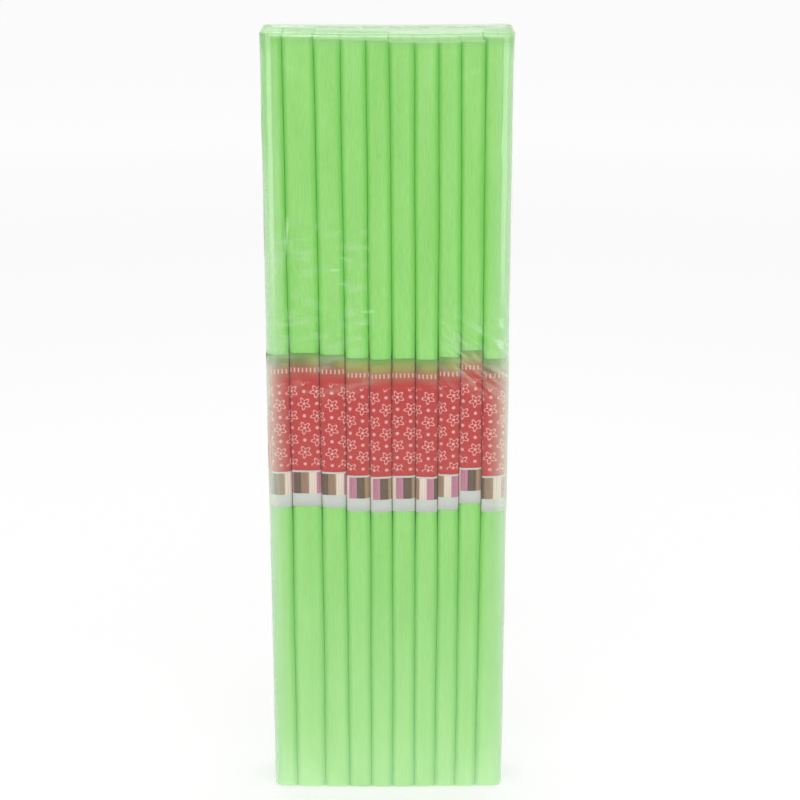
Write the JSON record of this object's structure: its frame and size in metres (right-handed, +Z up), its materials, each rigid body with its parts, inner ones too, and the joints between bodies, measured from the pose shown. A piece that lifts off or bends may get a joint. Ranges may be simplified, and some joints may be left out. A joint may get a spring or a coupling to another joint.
{
  "type": "crepe paper pack",
  "caption": "Upright retail pack of green crepe paper folds, each in a printed paper band, side by side in a clear shrink film bag with a sealed edge.",
  "frame": {"origin": "middle of the base that the upright pack stands on", "axes": "+Z up along the folds, +X to the right across the row of folds, -Y towards the front, where the folds' narrow sides show"},
  "size_m": [0.1554, 0.0462, 0.5081],
  "materials": {
    "green_crepe_paper": "matte",
    "printed_paper": "satin",
    "clear_shrink_film": "gloss"
  },
  "bodies": {
    "root": {"crepe_fold_01": "green_crepe_paper", "crepe_fold_02": "green_crepe_paper", "crepe_fold_03": "green_crepe_paper", "crepe_fold_04": "green_crepe_paper", "crepe_fold_05": "green_crepe_paper", "crepe_fold_06": "green_crepe_paper", "crepe_fold_07": "green_crepe_paper", "crepe_fold_08": "green_crepe_paper", "crepe_fold_09": "green_crepe_paper", "crepe_fold_10": "green_crepe_paper", "paper_band_01": "printed_paper", "paper_band_02": "printed_paper", "paper_band_03": "printed_paper", "paper_band_04": "printed_paper", "paper_band_05": "printed_paper", "paper_band_06": "printed_paper", "paper_band_07": "printed_paper", "paper_band_08": "printed_paper", "paper_band_09": "printed_paper", "paper_band_10": "printed_paper", "shrink_film": "clear_shrink_film"}
  },
  "joints": []
}
